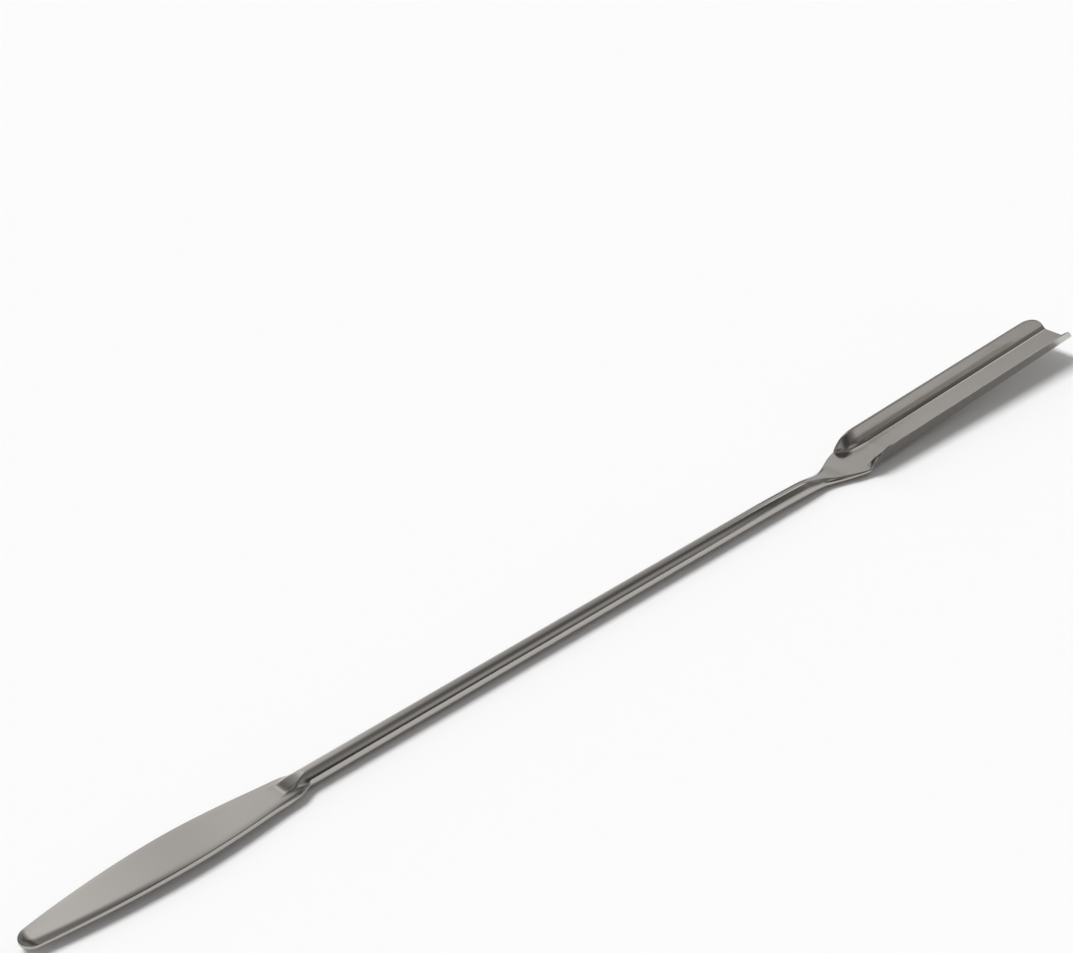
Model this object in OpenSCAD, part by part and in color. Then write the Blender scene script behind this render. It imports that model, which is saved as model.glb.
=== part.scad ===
// Double-ended laboratory spatula: one stainless rod, forged at one end into a flat
// leaf-shaped blade and at the other into an open trough. Millimetres, +Z up.
// +X runs from the blade's tip to the trough's mouth. The tool lies on a bench (z = 0),
// which it touches with the end of its rod at the blade and with the foot of its neck.
//
// The whole tool is one loft: a ring of points at each station along X, joined into a
// skin. Every ring starts at the +Y edge, runs over the top to the -Y edge and comes
// back underneath, so flat, round and bent sections turn into one another untwisted.

/* [Whole] */
// Overall length, blade tip to trough mouth
length = 180.5; // [150:0.5:230]

/* [Rod] */
// Diameter of the round rod
rod_d = 2.38; // [2:0.02:3]
// How far the rod bows up from the bench
rod_bow = 0.25; // [0:0.05:0.6]

/* [Blade] */
// Length of the flat blade, tip to the foot of the ramp
blade_len = 31.5; // [26:0.5:40]
// Widest width of the blade
blade_w = 5.74; // [4.6:0.02:7]
// Distance from the tip to the widest place
blade_wide_at = 18.5; // [14:0.5:21]
// Width of the blade just behind its rounded tip
tip_w = 2.6; // [2.2:0.02:3.6]
// Length of the rounded nose of the tip
nose_len = 1.2; // [0.8:0.1:2.4]
// Width of the blade at the foot of the ramp
root_w = 4.04; // [3.4:0.02:4.5]
// Thickness of the blade along its middle
blade_t = 0.86; // [0.7:0.02:1.1]
// Thickness left at the blade's edge, from its widest place on
edge_t = 0.64; // [0.4:0.02:0.66]
// Thickness left at the edge of the tip
tip_edge_t = 0.36; // [0.3:0.02:0.6]
// Width of the border over which the faces roll off to the edge
roll_w = 1; // [0.5:0.1:1.3]
// Small radius along the corners of the blade's edge
edge_r = 0.1; // [0.06:0.02:0.16]
// How far the middle of the blade arches up
blade_arch = 0.22; // [0:0.01:0.3]
// How far the tip droops below the rod's middle
tip_droop = 0.1; // [0:0.01:0.2]
// Length of the ramp from the blade's face up to the round rod
ramp_len = 3.8; // [2.5:0.1:6]
// Blend radius between the ramp's sides and the blade's shoulders
ramp_blend = 0.16; // [0.08:0.02:0.3]

/* [Neck] */
// Length of the neck, from the round rod to the start of the trough's walls
neck_len = 11.5; // [10:0.5:16]
// Length of rod before the neck over which its underside comes down to the bench
crank_len = 9; // [7:0.5:11]
// Length over which the neck's top comes down from the rod to the dish
neck_ramp = 8; // [6:0.5:10]
// How far along the neck its underside lies flat
foot_start = 5.5; // [4:0.5:7]
// How far along the neck it starts to flare
flare_start = 3.5; // [2:0.1:5]
// How far past the start of the walls the flare ends
flare_over = 1; // [0.5:0.1:2]
// Thickness of the neck at its flat foot
neck_t = 1.24; // [1.1:0.02:1.6]

/* [Trough] */
// Length of the trough, from the start of its walls to the mouth
trough_len = 50; // [30:0.5:60]
// Outer width of the trough at its rims
trough_w = 6.8; // [6.2:0.1:8]
// Height of the rims above the trough's floor
wall_h = 2.3; // [2:0.05:3]
// Length over which the walls come up from the neck to their full height
wall_rise_len = 8; // [5:0.5:12]
// How suddenly the walls come up: 2 is a plain arc, more is steeper at first
wall_rise_curve = 6; // [3:0.5:7]
// Slope of the walls' outsides, in degrees
outer_slope = 73; // [66:1:80]
// Slope of the walls' insides, in degrees: less, so the walls are thicker at their foot
inner_slope = 61; // [55:1:72]
// Thickness of the walls at their rims
wall_t = 0.24; // [0.2:0.01:0.36]
// Thickness of the floor at the mouth
mouth_t = 0.34; // [0.3:0.01:0.5]
// Radius of the bend between floor and wall, on the inside, where the walls start
start_r = 0.5; // [0.3:0.05:0.7]
// Radius of the same bend at the mouth
mouth_r = 0.8; // [0.5:0.05:1.4]
// Radius of the bend between floor and wall, on the outside
outer_r = 1.2; // [1:0.1:2]
// Upward slope of the trough's floor, in degrees
floor_pitch = 2.5; // [0.5:0.1:4]
// How far past the start of the walls the underside stays flat on the bench
foot_over = 2; // [1:0.5:4]
// Distance from the start of the walls to where the floor starts to climb
climb_start = 5; // [0:0.5:8]
// How far back from the mouth the corners are rounded
corner_len = 4.6; // [2:0.2:6]
// Height of the walls that is left at the mouth
mouth_h = 0.3; // [0.1:0.1:1]

/* [Smoothness] */
// Points round each section
ring_points = 64; // [48:8:64]

/* [Hidden] */

rod_r = rod_d / 2;
ramp_end = blade_len + ramp_len;          // the rod is round from here ...
wall_x = length - trough_len;             // the walls leave the neck's edges here
neck_x = wall_x - neck_len;               // ... to here, where it starts to flatten
foot_x = wall_x + foot_over;              // the underside leaves the bench here
full_x = wall_x + wall_rise_len;          // the walls have their full height from here
corner_x = length - corner_len;           // the mouth's corners start here
crank_x = neck_x - crank_len;             // the rod starts to come down to the neck here
foot_start_x = neck_x + foot_start;       // the neck's underside lies flat from here

nose_cut = 0.97;      // how much of the nose's ellipse is used: 1 would end in a point
waist_curve = 1.7;    // how late the blade narrows: 1 is straight, more is later
close_start = 0.32;   // share of the ramp that is passed before its sides close in
ramp_curve = 1.6;     // how the ramp levels out: 1 is straight, more is steeper at its foot
least_blend = 0.001;  // a blend that is as good as none

function mix(a, b, u) = a + (b - a) * u;
function limit(u) = min(1, max(0, u));
function part_of(x, from, to) = limit((x - from) / (to - from));
function ease(u) = u * u * (3 - 2 * u);
function quarter(u) = sqrt(max(0, 1 - u * u));        // quarter of a circle, 1 at u = 0
function blend_max(a, b, r) = max(a, b) + pow(max(r - abs(a - b), 0), 2) / (4 * r);

// ---- Blade and ramp -------------------------------------------------------------

// Half width of the blade: a leaf that swells from the tip and narrows to the root,
// with an elliptical nose. Along the ramp it closes in on the rod. The first ring is not
// at the very point of the nose, so it keeps a little width.
function blade_half(x) =
    let(swell = 1 - pow(1 - part_of(x, 0, blade_wide_at), 2),
        waist = pow(part_of(x, blade_wide_at, blade_len - roll_w), waist_curve),
        leaf = mix(mix(tip_w, blade_w, swell), root_w, waist) / 2,
        nose = quarter(nose_cut * (1 - limit(x / nose_len))))
    mix(leaf * nose, rod_r, ease(part_of(x, blade_len + close_start * ramp_len, ramp_end)));

// The face rolls off towards an edge at distance d: 1 on the flat, 0 at the edge.
function roll(d) = 1 - pow(1 - limit(d / roll_w), 2);

// Height of the plate's face over its middle plane, at v from the middle line. The
// corner radius grows along the ramp until the plate is lost inside the rod.
function plate(x, v) =
    let(half = blade_half(x),
        radius = mix(edge_r, rod_r, part_of(x, blade_len, ramp_end)),
        edge = mix(tip_edge_t, edge_t, part_of(x, 0, blade_wide_at)),
        body = mix(edge, blade_t, roll(half - abs(v)) * roll(x)) / 2,
        corner = quarter(limit((abs(v) - half) / radius + 1)))
    body - min(radius, body) * (1 - corner);

// The ramp: the round rod, cut off by a face that climbs from the blade and levels out.
function ramp(x, v) =
    let(u = part_of(x, blade_len, ramp_end),
        cut = mix(blade_t / 2, rod_r, 1 - pow(1 - u, ramp_curve)))
    min(cut, rod_r * quarter(limit(abs(v) / rod_r)));

function blade_ring(x) =
    let(half = blade_half(x),
        u = part_of(x, 0, blade_len),
        middle = rod_r + blade_arch * sin(180 * u) - tip_droop * (1 - u),
        blend = mix(ramp_blend, least_blend, part_of(x, blade_len, ramp_end)))
    [for (k = [0 : ring_points - 1])
        let(a = 360 * k / ring_points,
            v = half * cos(a),
            face = x < blade_len ? plate(x, v) : blend_max(plate(x, v), ramp(x, v), blend))
        [x, v, middle + sign(sin(a)) * face]];

// ---- Rod, neck and trough -------------------------------------------------------

// Underside: the rod's gentle bow, the flat foot, then a straight climb to the mouth.
function under(x) =
    rod_bow * part_of(x, ramp_end, crank_x) * (1 - ease(part_of(x, crank_x, foot_start_x)))
    + part_of(x, foot_x, length) * (floor_top(length) - mouth_t);
function floor_top(x) = neck_t + tan(floor_pitch) * max(0, x - wall_x - climb_start);
function top(x) =
    mix(under(x) + rod_d, floor_top(x), ease(part_of(x, neck_x, neck_x + neck_ramp)));

// Half width seen from above: the rod, the neck's flare, then the trough.
function half_width(x) =
    mix(rod_r, trough_w / 2, ease(part_of(x, neck_x + flare_start, wall_x + flare_over)));

// Height of the rims over the floor, before and after the mouth's corners are cut.
function full_height(x) =
    wall_h * (1 - pow(1 - part_of(x, wall_x, full_x), wall_rise_curve));
function rim_height(x) =
    min(full_height(x), mix(mouth_h, wall_h, quarter(part_of(x, corner_x, length))));

// Half of a channel's section is a path from the middle: a flat, a bend and a straight
// wall, up to a given rise. It is held as [flat, radius, bend angle, wall].
function bend_angle(rise, r, slope) = acos(max(1 - rise / r, cos(slope)));
function wall(rise, r, slope) = max(0, rise - r * (1 - cos(slope))) / sin(slope);
function flat(half, rise, r, slope) =
    half - r * sin(bend_angle(rise, r, slope)) - wall(rise, r, slope) * cos(slope);
function channel(flat, rise, r, slope) =
    [flat, r, bend_angle(rise, r, slope), wall(rise, r, slope)];
function path_len(p) = p[0] + p[1] * p[2] * PI / 180 + p[3];

// Where the path is at a distance t from the middle: [side, height, slope].
function path_at(p, t) =
    let(a = min(p[2], max(0, t - p[0]) / p[1] * 180 / PI),
        w = max(0, t - p[0] - p[1] * p[2] * PI / 180))
    [min(t, p[0]) + p[1] * sin(a) + w * cos(a), p[1] * (1 - cos(a)) + w * sin(a), a];

// One section from the rod to the mouth. The upper line is the dish or the inside of
// the trough, and turns over at its end by a quarter of an ellipse, edge_w wide along
// the line and edge_h through the sheet: on the rod, that is the whole upper half. The
// lower line is the outside, from the middle of the underside up to where that ends.
function trough_ring(x) =
    let(u = part_of(x, neck_x, wall_x),
        edge_w = mix(rod_r, wall_t / 2, ease(u)),
        edge_h = mix(rod_r, wall_t, ease(u)),
        r_in = mix(start_r, mouth_r, part_of(x, wall_x, length)),
        r_out = mix(rod_r, outer_r, ease(part_of(x, neck_x, foot_start_x))),
        slope = mix(90, outer_slope, u),
        a_in = bend_angle(full_height(x), r_in, inner_slope),
        flat_in = flat(half_width(x) - edge_h * sin(a_in), full_height(x), r_in, inner_slope),
        inside = channel(flat_in, rim_height(x), r_in, inner_slope),
        thick = top(x) - under(x),
        full_out = thick + full_height(x) - edge_h * cos(a_in),
        flat_out = flat(half_width(x), full_out, r_out, slope),
        rise_out = thick + rim_height(x) - edge_h * cos(inside[2]),
        outside = channel(flat_out, rise_out, r_out, slope),
        line = path_len(inside))
    [for (k = [0 : ring_points - 1])
        let(a = 360 * k / ring_points,
            side = a > 90 && a < 270 ? -1 : 1,
            t = line * abs(cos(a)),
            over = edge_h * (1 - quarter(limit((t - line) / edge_w + 1))),
            p = path_at(inside, t),
            from_edge = a < 270 ? a - 180 : 360 - a,
            q = path_at(outside, path_len(outside) * (1 - from_edge / 90)))
        a <= 180
            ? [x, side * (p[0] + over * sin(p[2])), top(x) + p[1] - over * cos(p[2])]
            : [x, side * q[0], under(x) + q[1]]];

// ---- Stations and skin ----------------------------------------------------------

// n stations from one place to just before another: evenly spaced, or closing up
// towards the end or the start of the stretch, where the form turns fastest.
function steps(from, to, n) = [for (i = [0 : n - 1]) mix(from, to, i / n)];
function slowing(from, to, n) = [for (i = [0 : n - 1]) mix(from, to, sin(90 * i / n))];
function quickening(from, to, n) = [for (i = [0 : n - 1]) mix(from, to, 1 - cos(90 * i / n))];

blade_x = concat(quickening(0, nose_len, 7), quickening(nose_len, nose_len + 4, 5),
                 steps(nose_len + 4, blade_len, 14), slowing(blade_len, ramp_end, 14));
rod_x = concat(steps(ramp_end, crank_x, 6), steps(crank_x, neck_x, 3));
trough_x = concat(steps(neck_x, wall_x, 14), quickening(wall_x, full_x, 14),
                  steps(full_x, corner_x, 9), slowing(corner_x, length, 9), [length]);

module skin(rings) {
    n = ring_points;
    last = (len(rings) - 1) * n;
    sides = [for (i = [0 : len(rings) - 2], k = [0 : n - 1])
        let(a = i * n + k, b = i * n + (k + 1) % n)
        [a, a + n, b + n, b]];
    // Each end is closed by strips across it, from the upper line to the lower one.
    start = concat([[0, 1, n - 1]], [for (k = [1 : n / 2 - 2]) [k, k + 1, n - k - 1, n - k]],
                   [[n / 2 - 1, n / 2, n / 2 + 1]]);
    end = [for (f = start) [for (i = [len(f) - 1 : -1 : 0]) last + f[i]]];
    polyhedron([for (ring = rings) each ring], concat(sides, start, end), convexity = 6);
}

module spatula() {
    color("silver")
        translate([-length / 2, 0, 0])
            skin(concat([for (x = blade_x) blade_ring(x)],
                        [for (x = concat(rod_x, trough_x)) trough_ring(x)]));
}

spatula();
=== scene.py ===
# %% [markdown]
# # A double-ended laboratory spatula
# The tool is one stainless rod. One end is forged flat into a leaf-shaped blade, and the
# other is pressed into an open trough for lifting powder. This notebook loads its solid,
# turns a copy of it into a smooth surface, gives that a polished steel, and lights it on a
# white bench.
#
# Everything is in metres, in one frame: +X runs from the blade to the trough's mouth, +Z
# is up, and the bench is the plane z = 0.

import math

import bpy
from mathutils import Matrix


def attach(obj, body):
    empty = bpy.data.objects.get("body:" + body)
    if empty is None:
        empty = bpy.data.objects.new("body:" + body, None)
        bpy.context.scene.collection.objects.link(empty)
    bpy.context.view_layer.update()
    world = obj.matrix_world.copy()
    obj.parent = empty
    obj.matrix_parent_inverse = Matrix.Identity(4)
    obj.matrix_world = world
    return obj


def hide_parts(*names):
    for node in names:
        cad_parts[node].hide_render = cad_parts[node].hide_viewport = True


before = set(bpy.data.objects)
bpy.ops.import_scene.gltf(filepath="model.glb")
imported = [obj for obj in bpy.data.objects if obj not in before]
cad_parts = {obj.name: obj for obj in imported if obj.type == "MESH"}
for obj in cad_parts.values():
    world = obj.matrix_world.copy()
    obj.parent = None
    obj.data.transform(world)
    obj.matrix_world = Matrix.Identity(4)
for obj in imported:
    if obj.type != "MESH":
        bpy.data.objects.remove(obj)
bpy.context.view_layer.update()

MM = 0.001  # metres
scene = bpy.context.scene
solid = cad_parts["spatula"]

# %% [markdown]
# ## The camera
# The camera stands off the blade's end, to the near side, about a quarter of a metre from
# the middle of the tool, and looks down at 31 degrees. The blade is nearer to it than the
# trough, so the trough looks smaller than it is. How strong that is depends on where the
# camera stands. The lens only sets how much of the bench fills the frame.

# %% Camera
CAMERA_PLACE = (-151.4, -132.2, 135.0)  # mm, from the middle of the tool, on the bench
CAMERA_TILT = 30.78  # degrees below the horizon
CAMERA_TURN = 44.73  # degrees from +Y towards +X
LENS = 65.09  # mm
SENSOR_WIDTH = 36  # mm
NEAR_CLIP = 0.01  # m, well short of the tool

bpy.ops.object.select_all(action="DESELECT")
bpy.ops.object.camera_add(
    location=[v * MM for v in CAMERA_PLACE],
    rotation=(math.radians(90 - CAMERA_TILT), 0, math.radians(-CAMERA_TURN)),
)
camera = bpy.context.object
camera.name = "camera"
camera.data.sensor_width = SENSOR_WIDTH
camera.data.lens = LENS
camera.data.clip_start = NEAR_CLIP
scene.camera = camera
print("camera at", [round(v, 4) for v in camera.location])

# %% [markdown]
# ## The steel surface
# The solid is a skin of flat triangles, and on polished metal each of them would show as a
# flash. The tool could be modelled again from a plane or from curves, but a copy of the
# solid keeps every size exact. So the copy's loose triangles are merged and joined back
# into four-sided faces, which subdivide smoothly.
#
# The two small shoulders beside the ramp, where the blade climbs onto the rod, are
# softened by moving their points towards their neighbours, as a polishing belt does. Then
# the tool's crisp edges are creased, so that the subdivision keeps them. The shoulders are
# hidden while those edges are picked: the folds left there run in a zigzag, and creasing
# them would crumple the surface.

# %% Copy and merge the solid
MERGE = 0.0005 * MM
QUAD_FOLD = 35  # degrees; triangles folded more than this aren't joined
QUAD_SHAPE = 180  # degrees, which lets a four-sided face have any shape
EDGE_ANGLE = 40  # degrees; folds sharper than this are true edges
RAMP = (-59.2, -54.0)  # mm, the stretch where the blade climbs onto the rod
SHOULDER_Y = 0.95  # mm, the shoulders lie further out than this
SHOULDER_Z = 1.0  # mm, and above this
SHOULDER_STEP = 0.5  # the share of the way that a point moves in one pass
SHOULDER_PASSES = 6

bpy.ops.object.select_all(action="DESELECT")
solid.select_set(True)
bpy.context.view_layer.objects.active = solid
bpy.ops.object.duplicate()
steel = bpy.context.object
steel.name = "forged_spatula"

bpy.ops.object.mode_set(mode="EDIT")
bpy.ops.mesh.select_all(action="SELECT")
bpy.ops.mesh.remove_doubles(threshold=MERGE)
bpy.ops.mesh.customdata_custom_splitnormals_clear()
bpy.ops.mesh.tris_convert_to_quads(
    face_threshold=math.radians(QUAD_FOLD), shape_threshold=math.radians(QUAD_SHAPE)
)
bpy.ops.mesh.select_mode(type="VERT")
bpy.ops.mesh.select_all(action="DESELECT")
bpy.ops.object.mode_set(mode="OBJECT")
for vertex in steel.data.vertices:
    x, y, z = (v / MM for v in vertex.co)
    vertex.select = RAMP[0] < x < RAMP[1] and abs(y) > SHOULDER_Y and z > SHOULDER_Z
print("points on the ramp's shoulders:", sum(v.select for v in steel.data.vertices))
bpy.ops.object.mode_set(mode="EDIT")
bpy.ops.mesh.vertices_smooth(factor=SHOULDER_STEP, repeat=SHOULDER_PASSES)
bpy.ops.mesh.hide()
bpy.ops.mesh.select_mode(type="EDGE")
bpy.ops.mesh.select_all(action="DESELECT")
bpy.ops.mesh.edges_select_sharp(sharpness=math.radians(EDGE_ANGLE))
bpy.ops.transform.edge_crease(value=1)
bpy.ops.mesh.reveal(select=False)
bpy.ops.object.mode_set(mode="OBJECT")
print("faces after merging:", len(steel.data.polygons))

# %% [markdown]
# ## Rounding
# A Subdivision Surface splits each face and pulls the new points onto a smooth curve. Two
# levels round the rod, and a third would make four times as many faces for no gain that
# shows. The surface is shaded smooth afterwards, because shading marks made before the
# subdivision would be split with the faces and show as creases.

# %% Round it
ROUNDING_LEVELS = 2

rounding = steel.modifiers.new("rounding", "SUBSURF")
rounding.levels = ROUNDING_LEVELS
rounding.render_levels = ROUNDING_LEVELS
bpy.ops.object.modifier_apply(modifier=rounding.name)
bpy.ops.object.shade_smooth_by_angle(angle=math.radians(EDGE_ANGLE))
print("faces after rounding:", len(steel.data.polygons))

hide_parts("spatula")
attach(steel, "root")

# %% [markdown]
# ## Stainless steel, polished lengthwise
# The real one is 18/8 stainless steel, polished on a belt along its length. That gives a
# soft mirror with a slight warm tint, and fine lines along the tool that spread its
# reflections a little. An image of scratches could give the lines. Noise stretched along
# the tool is simpler, has no seams and can be given in millimetres.

# %% Material helpers
def linear(hex_colour):
    """An sRGB hex colour as linear red, green, blue and alpha."""
    parts = [int(hex_colour[i : i + 2], 16) / 255 for i in (1, 3, 5)]
    return [c / 12.92 if c <= 0.04045 else ((c + 0.055) / 1.055) ** 2.4 for c in parts] + [1]


def node(tree, kind, links=None, inputs=None, stops=None, **settings):
    """Adds a node, sets its properties, sockets and grey stops, and links outputs into it."""
    new = tree.nodes.new(kind)
    for name, value in settings.items():
        setattr(new, name, value)
    for socket, value in (inputs or {}).items():
        new.inputs[socket].default_value = value
    for socket, output in (links or {}).items():
        tree.links.new(output, new.inputs[socket])
    if stops:
        elements = new.color_ramp.elements
        elements.remove(elements[1])
        elements[0].position, first = stops[0]
        elements[0].color = (first, first, first, 1)
        for position, level in stops[1:]:
            elements.new(position).color = (level, level, level, 1)
    return new


print("middle grey in linear light:", [round(v, 3) for v in linear("#808080")])

# %% Polished steel
STEEL_COLOUR = "#ADA9A4"  # the reflectance of the metal itself, slightly warm
# Real polishing lines are a few hundredths of a millimetre apart. These are drawn coarser,
# but are still finer than a pixel from the camera's place. There they don't show as lines
# and only soften the mirror image, and close up they show faintly near the edges.
POLISH_PITCH = 0.12  # mm between polishing lines, across the tool
POLISH_LENGTH = 14  # mm that one line runs
GRAIN_RANGE = (0.3, 0.7)  # the part of the noise's range that is used
ROUGHNESS = (0.10, 0.17)  # from the smoothest line to the roughest
LINE_DEPTH = 0.0015  # mm

polished = bpy.data.materials.new("polished_stainless_steel")
polished.use_nodes = True
tree = polished.node_tree
shader = tree.nodes["Principled BSDF"]
shader.inputs["Base Color"].default_value = linear(STEEL_COLOUR)
shader.inputs["Metallic"].default_value = 1

place = node(tree, "ShaderNodeTexCoord").outputs["Object"]
lines = node(
    tree,
    "ShaderNodeMapping",
    {"Vector": place},
    {"Scale": (1 / (POLISH_LENGTH * MM), 1 / (POLISH_PITCH * MM), 1 / (POLISH_PITCH * MM))},
)
grain = node(
    tree,
    "ShaderNodeTexNoise",
    {"Vector": lines.outputs[0]},
    {"Scale": 1, "Detail": 3, "Roughness": 0.6},
)
rough = node(
    tree,
    "ShaderNodeMapRange",
    {"Value": grain.outputs["Fac"]},
    {
        "From Min": GRAIN_RANGE[0],
        "From Max": GRAIN_RANGE[1],
        "To Min": ROUGHNESS[0],
        "To Max": ROUGHNESS[1],
    },
)
tree.links.new(rough.outputs[0], shader.inputs["Roughness"])
bump = node(
    tree,
    "ShaderNodeBump",
    {"Height": grain.outputs["Fac"]},
    {"Strength": 1.0, "Distance": LINE_DEPTH * MM},
)
tree.links.new(bump.outputs[0], shader.inputs["Normal"])

steel.data.materials.clear()
steel.data.materials.append(polished)
print(polished.name, "has", len(tree.nodes), "nodes")

# %% [markdown]
# ## The bench
# A plain matt white surface that catches the shadow of the tool. A curved backdrop would do
# as well. A flat one is enough if it is so large that the views don't reach its edge.

# %% Bench
BENCH_SIZE = 20  # m
BENCH_COLOUR = "#F8F8F8"  # white card, just short of full white so that it doesn't clip

bpy.ops.object.select_all(action="DESELECT")
bpy.ops.mesh.primitive_plane_add(size=BENCH_SIZE, location=(0, 0, 0))
bench = bpy.context.object
bench.name = "bench"

white = bpy.data.materials.new("white_card")
white.use_nodes = True
card = white.node_tree.nodes["Principled BSDF"]
card.inputs["Base Color"].default_value = linear(BENCH_COLOUR)
card.inputs["Roughness"].default_value = 0.9
card.inputs["Specular IOR Level"].default_value = 0
bench.data.materials.append(white)
print("bench in m:", [round(v, 2) for v in bench.dimensions])

# %% [markdown]
# ## What the metal mirrors
# Polished metal has hardly a look of its own: it shows what stands around it. Panels and
# lamps could be placed for it to mirror, but on a tool this thin each of them would have
# to be found by trial. So the sky is drawn instead, by direction, as a studio's walls.
#
# Each stretch of the tool, seen from the camera's place, mirrors its own piece of wall: the
# nose looks back towards -X, the ramp almost straight across, the blade and the rod further
# and further forward, and the neck and the trough about halfway towards +X. Every wall is a
# table of brightness over the angle, from the horizon on the near side (0) over the top
# (90) to the horizon on the far side (180).
#
# The numbers were set for this camera, by working out which way each stretch looks and
# trying values until its bands of light and dark fell about where they do on a real tool.
# Seen from elsewhere, the steel mirrors other parts of these walls and looks darker and
# plainer.

# %% Sky
WALLS = [  # from this share of +X on, and the wall's brightness by angle in degrees
    # the nose
    (-0.95, {0: 0.7, 180: 0.7}),
    (-0.75, {0: 0.3, 180: 0.3}),
    (-0.45, {0: 0.3, 50: 0.5, 120: 0.5, 180: 0.2}),
    (-0.15, {0: 0.8, 14: 0.8, 24: 0.12, 130: 0.12, 142: 0.3, 180: 0.4}),
    # the ramp
    (0.04, {0: 0.8, 14: 0.8, 24: 0.15, 70: 0.25, 100: 0.14, 116: 0.12, 126: 0.17, 142: 0.3,
            180: 0.4}),
    (0.13, {0: 0.3, 40: 0.45, 75: 0.45, 100: 0.35, 126: 0.45, 180: 0.5}),
    (0.19, {0: 0.2, 40: 0.4, 75: 0.4, 100: 0.35, 115: 0.4, 126: 0.55, 180: 0.6}),
    # the blade
    (0.28, {0: 0.08, 40: 0.15, 98: 0.18, 110: 0.4, 121: 0.95, 130: 1.18, 180: 1.1}),
    (0.33, {0: 0.08, 40: 0.15, 98: 0.2, 110: 0.36, 121: 0.82, 130: 1.0, 180: 1.0}),
    (0.4, {0: 0.06, 40: 0.2, 96: 0.22, 108: 0.4, 121: 0.7, 130: 0.79, 180: 0.85}),
    (0.45, {0: 0.02, 18: 0.06, 30: 0.3, 60: 0.32, 95: 0.28, 108: 0.55, 125: 1.04, 180: 1.04}),
    # the rod
    (0.51, {0: 0.02, 18: 0.12, 30: 0.5, 44: 0.72, 56: 0.42, 75: 0.17, 95: 0.2, 125: 0.5,
            180: 0.75}),
    (0.66, {0: 0.05, 20: 0.38, 45: 0.56, 61: 0.3, 78: 0.14, 95: 0.18, 125: 0.45, 180: 0.75}),
    # the neck and the trough
    (0.685, {0: 0.4, 4: 0.9, 16: 0.9, 21: 0.05, 97: 0.03, 102: 1.5, 109: 1.5, 115: 0.65,
             126: 0.84, 145: 0.84, 160: 0.2, 180: 0.1}),
    (0.76, {0: 0.4, 4: 0.72, 18: 0.75, 28: 0.35, 92: 0.35, 101: 1.3, 109: 1.3, 115: 0.5,
            126: 0.6, 145: 0.6, 160: 0.2, 180: 0.1}),
    (0.82, {0: 0.2, 112: 0.2, 126: 0.7, 180: 0.6}),
    (0.95, {0: 0.7, 180: 0.7}),
]
MIX_SHARE, MIX_FROM, MIX_TO = 0, 6, 7  # the Mix node's inputs, when it mixes colours
MIX_RESULT = 2  # and its output

world = bpy.data.worlds.new("studio_walls")
scene.world = world
world.use_nodes = True
sky = world.node_tree
background = sky.nodes["Background"]
direction = node(sky, "ShaderNodeTexCoord").outputs["Generated"]
towards = node(sky, "ShaderNodeSeparateXYZ", {0: direction})
near = node(sky, "ShaderNodeMath", {0: towards.outputs["Y"]}, {1: -1}, operation="MULTIPLY")
angle = node(
    sky,
    "ShaderNodeMath",
    {0: towards.outputs["Z"], 1: near.outputs[0]},
    operation="ARCTAN2",
)
across = node(sky, "ShaderNodeMath", {0: angle.outputs[0]}, {1: math.pi}, operation="DIVIDE")
brightness = None
for place_x, table in WALLS:
    stops = [(degrees / 180, level) for degrees, level in table.items()]
    wall = node(sky, "ShaderNodeValToRGB", {"Fac": across.outputs[0]}, stops=stops).outputs[0]
    if brightness is None:
        brightness = wall
    else:
        turn = node(
            sky,
            "ShaderNodeMapRange",
            {"Value": towards.outputs["X"]},
            {"From Min": last_x, "From Max": place_x},
        )
        brightness = node(
            sky,
            "ShaderNodeMix",
            {MIX_SHARE: turn.outputs[0], MIX_FROM: brightness, MIX_TO: wall},
            data_type="RGBA",
        ).outputs[MIX_RESULT]
    last_x = place_x
sky.links.new(brightness, background.inputs["Color"])
background.inputs["Strength"].default_value = 1
print("walls along the tool:", len(WALLS))

# %% [markdown]
# ## The lamp
# One lamp lights the bench and gives the tool its shadow. A sun lamp lights a large bench
# evenly, where an area lamp would fade across it, and a wide one gives the shadow a soft
# edge. The lamp is hidden from reflections, because the walls already stand for what the
# metal mirrors. Metal has no matt colour under its mirror, so it shows this lamp only
# where it mirrors the lit bench.

# %% Lamp
KEY_TOWARDS = (-0.25, 0.35, 0.9)  # from the tool to the lamp
KEY_WIDTH = 29  # degrees of sky that it fills
KEY_STRENGTH = 2.3  # the bench stays just short of full white with this

bpy.ops.object.select_all(action="DESELECT")
bpy.ops.object.light_add(type="SUN", location=KEY_TOWARDS)
key_lamp = bpy.context.object
key_lamp.name = "key_lamp"
key_lamp.data.energy = KEY_STRENGTH
key_lamp.data.angle = math.radians(KEY_WIDTH)
x, y, z = KEY_TOWARDS
key_lamp.rotation_euler = (0, math.atan2(math.hypot(x, y), z), math.atan2(y, x))
key_lamp.visible_glossy = False
print("lamp's turns in degrees:", [round(math.degrees(v), 1) for v in key_lamp.rotation_euler])

# %% [markdown]
# ## Settings
# The view transform is the plain one, so that a colour renders about as it is written. The
# rounding may only take a little off the solid's size.

# %% Settings
scene.view_settings.view_transform = "Standard"
